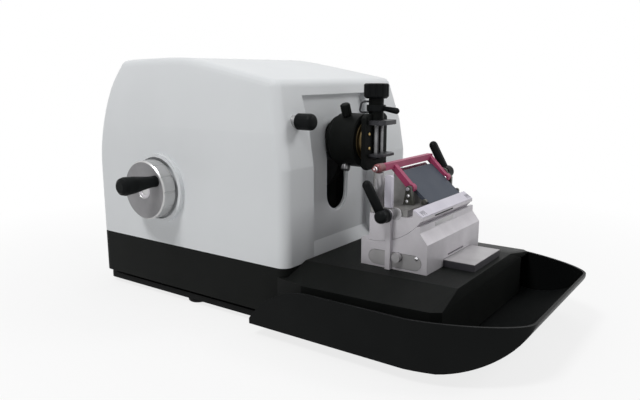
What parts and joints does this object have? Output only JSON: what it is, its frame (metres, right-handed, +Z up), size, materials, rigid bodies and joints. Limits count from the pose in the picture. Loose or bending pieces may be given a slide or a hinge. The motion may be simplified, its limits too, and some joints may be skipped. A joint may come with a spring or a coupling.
{
  "type": "rotary microtome",
  "caption": "Manual rotary microtome with a white cover, black base and waste tray, specimen vise on a vertical stroke and a disposable-blade holder with finger guard.",
  "frame": {"origin": "centre of the overall box at bench level", "axes": "+X to the operator's right, +Y to the back, +Z up; the knife holder is at the front (-Y)"},
  "size_m": [0.4356, 0.584, 0.3025],
  "materials": {
    "white_paint": "satin",
    "black_casting": "satin",
    "black_plate": "matte",
    "tray_black": "semi-gloss",
    "foot_rubber": "matte",
    "iron_grey": "matte",
    "ground_steel": "ground",
    "wheel_silver": "turned satin",
    "holder_silver": "fine machined",
    "holder_grey": "satin",
    "head_black": "satin",
    "jaw_dark": "blackened",
    "knob_black": "satin",
    "brass": "satin",
    "guard_red": "anodised satin",
    "press_slate": "satin",
    "blade_steel": "polished"
  },
  "bodies": {
    "frame": {"base_casting": "black_casting", "bottom_plate": "black_plate", "feet": "foot_rubber", "cover": "white_paint", "wheel_collar": "white_paint", "knob_bush": "ground_steel", "guide_column": "iron_grey", "guide_rails": "ground_steel", "bearing_housing": "iron_grey", "shaft_bearings": "ground_steel", "coarse_bearing": "iron_grey", "guide_plate": "holder_silver"},
    "tray": {"waste_tray": "tray_black"},
    "coarse_drive": {"coarse_wheel": "wheel_silver", "coarse_shaft": "ground_steel", "handle_spindle": "ground_steel"},
    "coarse_grip": {"coarse_handle": "knob_black"},
    "main_drive": {"handwheel": "knob_black", "main_shaft": "ground_steel", "crank_disc": "iron_grey", "grip_spindle": "ground_steel"},
    "wheel_grip": {"handwheel_grip": "knob_black"},
    "lock": {"wheel_lock": "knob_black"},
    "carriage": {"vertical_carriage": "iron_grey", "yoke_plate": "ground_steel"},
    "feed": {"feed_cylinder": "ground_steel", "head_disc": "head_black"},
    "screw": {"feed_screw": "ground_steel", "ratchet_wheel": "brass"},
    "pawl": {"feed_pawl": "iron_grey"},
    "thickness": {"thickness_knob": "knob_black", "knob_shaft": "ground_steel"},
    "cradle": {"orientation_cradle": "brass"},
    "side_screw": {"upper_screw": "head_black"},
    "low_screw": {"lower_screw": "ground_steel"},
    "vise": {"vise_ball": "brass", "vise_body": "head_black", "upper_jaw": "jaw_dark", "guide_rods": "ground_steel", "clamp_neck": "head_black", "spring_clip": "jaw_dark"},
    "jaw": {"lower_jaw": "jaw_dark"},
    "clamp": {"clamp_screw": "ground_steel", "clamp_knob": "knob_black"},
    "vise_lever": {"clamp_lever": "knob_black"},
    "holder": {"holder_base": "holder_silver", "clamp_bar": "holder_silver", "side_insert": "holder_grey"},
    "holder_lock": {"base_clamp": "knob_black"},
    "tilt_lock": {"tilt_lever": "knob_black", "tilt_collar": "wheel_silver"},
    "tilt": {"tilt_segment": "holder_silver", "index_strip": "holder_silver"},
    "lateral": {"lateral_slide": "holder_grey", "blade_support": "holder_grey", "holder_lugs": "holder_grey", "blade": "blade_steel"},
    "press": {"pressure_plate": "press_slate"},
    "guard": {"finger_guard": "guard_red"},
    "blade_lock": {"blade_lever": "knob_black"}
  },
  "joints": [
    {"name": "tray_slide", "type": "slide", "parent": "frame", "child": "tray", "axis": [0, 1, 0], "range_m": [-0.1, 0]},
    {"name": "coarse_turn", "type": "hinge", "parent": "frame", "child": "coarse_drive", "pos_m": [-0.0205, 0.169, 0.1443], "axis": [1, 0, 0], "range_deg": [-1010, 0]},
    {"name": "coarse_handle_spin", "type": "hinge", "parent": "coarse_drive", "child": "coarse_grip", "pos_m": [-0.0205, 0.14726, 0.15762], "axis": [1, 0, 0], "continuous": true},
    {"name": "handwheel_turn", "type": "hinge", "parent": "frame", "child": "main_drive", "pos_m": [-0.0205, 0.066, 0.176], "axis": [1, 0, 0], "continuous": true},
    {"name": "grip_spin", "type": "hinge", "parent": "main_drive", "child": "wheel_grip", "pos_m": [-0.0205, 0.066, 0.228], "axis": [1, 0, 0], "continuous": true},
    {"name": "lock_swing", "type": "hinge", "parent": "frame", "child": "lock", "pos_m": [-0.0205, 0.031, 0.05], "axis": [1, 0, 0], "range_deg": [-50, 0]},
    {"name": "stroke", "type": "slide", "parent": "frame", "child": "carriage", "axis": [0, 0, 1], "range_m": [-0.06, 0]},
    {"name": "feed_slide", "type": "slide", "parent": "carriage", "child": "feed", "axis": [0, 1, 0], "range_m": [-0.028, 0]},
    {"name": "screw_turn", "type": "hinge", "parent": "carriage", "child": "screw", "pos_m": [-0.0205, -0.029, 0.206], "axis": [0, 1, 0], "range_deg": [-1010, 2]},
    {"name": "pawl_swing", "type": "hinge", "parent": "frame", "child": "pawl", "pos_m": [0.0055, -0.029, 0.24], "axis": [0, 1, 0], "range_deg": [0, 12]},
    {"name": "thickness_turn", "type": "hinge", "parent": "frame", "child": "thickness", "pos_m": [-0.1105, -0.029, 0.2324], "axis": [0, 1, 0], "range_deg": [0, 300]},
    {"name": "cradle_turn", "type": "hinge", "parent": "feed", "child": "cradle", "pos_m": [-0.0205, -0.055, 0.206], "axis": [0, 0, 1], "range_deg": [-8, 8]},
    {"name": "side_screw_turn", "type": "hinge", "parent": "feed", "child": "side_screw", "pos_m": [-0.0205, -0.037, 0.206], "axis": [-0.3746, 0, 0.9272], "range_deg": [-725, 725]},
    {"name": "low_screw_turn", "type": "hinge", "parent": "feed", "child": "low_screw", "pos_m": [-0.0205, -0.037, 0.206], "axis": [-0.4226, 0, -0.9063], "range_deg": [-725, 725]},
    {"name": "vise_tilt", "type": "hinge", "parent": "cradle", "child": "vise", "pos_m": [-0.0205, -0.055, 0.206], "axis": [1, 0, 0], "range_deg": [-8, 8]},
    {"name": "jaw_slide", "type": "slide", "parent": "vise", "child": "jaw", "axis": [0, 0, 1], "range_m": [0, 0.03]},
    {"name": "clamp_turn", "type": "hinge", "parent": "vise", "child": "clamp", "pos_m": [-0.0205, -0.069, 0.206], "axis": [0, 0, 1], "range_deg": [0, 3605]},
    {"name": "vise_lever_swing", "type": "hinge", "parent": "vise", "child": "vise_lever", "pos_m": [-0.0205, -0.069, 0.206], "axis": [0, 0, 1], "range_deg": [-20, 70]},
    {"name": "holder_slide", "type": "slide", "parent": "frame", "child": "holder", "axis": [0, 1, 0], "range_m": [-0.03, 0]},
    {"name": "holder_lock_swing", "type": "hinge", "parent": "holder", "child": "holder_lock", "pos_m": [-0.0205, -0.133, 0.091], "axis": [1, 0, 0], "range_deg": [0, 35]},
    {"name": "tilt_lock_swing", "type": "hinge", "parent": "holder", "child": "tilt_lock", "pos_m": [-0.0205, -0.1205, 0.136], "axis": [1, 0, 0], "range_deg": [-60, 30]},
    {"name": "tilt_turn", "type": "hinge", "parent": "holder", "child": "tilt", "pos_m": [-0.0205, -0.1015, 0.177], "axis": [1, 0, 0], "range_deg": [-5, 5]},
    {"name": "lateral_shift", "type": "slide", "parent": "tilt", "child": "lateral", "axis": [1, 0, 0], "range_m": [0, 0.024]},
    {"name": "press_open", "type": "hinge", "parent": "lateral", "child": "press", "pos_m": [-0.0205, -0.14301, 0.14557], "axis": [1, 0, 0], "range_deg": [0, 20]},
    {"name": "guard_flip", "type": "hinge", "parent": "lateral", "child": "guard", "pos_m": [-0.0205, -0.128, 0.16], "axis": [1, 0, 0], "range_deg": [0, 95]},
    {"name": "blade_lock_swing", "type": "hinge", "parent": "lateral", "child": "blade_lock", "pos_m": [-0.0205, -0.121, 0.164], "axis": [1, 0, 0], "range_deg": [-40, 30]}
  ],
  "couplings": [
    {"joint": "coarse_turn", "follows": "feed_slide", "rad_per_m": 628.32},
    {"joint": "screw_turn", "follows": "feed_slide", "rad_per_m": 628.32},
    {"joint": "side_screw_turn", "follows": "cradle_turn", "ratio": 90},
    {"joint": "low_screw_turn", "follows": "vise_tilt", "ratio": 90},
    {"joint": "clamp_turn", "follows": "jaw_slide", "rad_per_m": 2094.4}
  ]
}
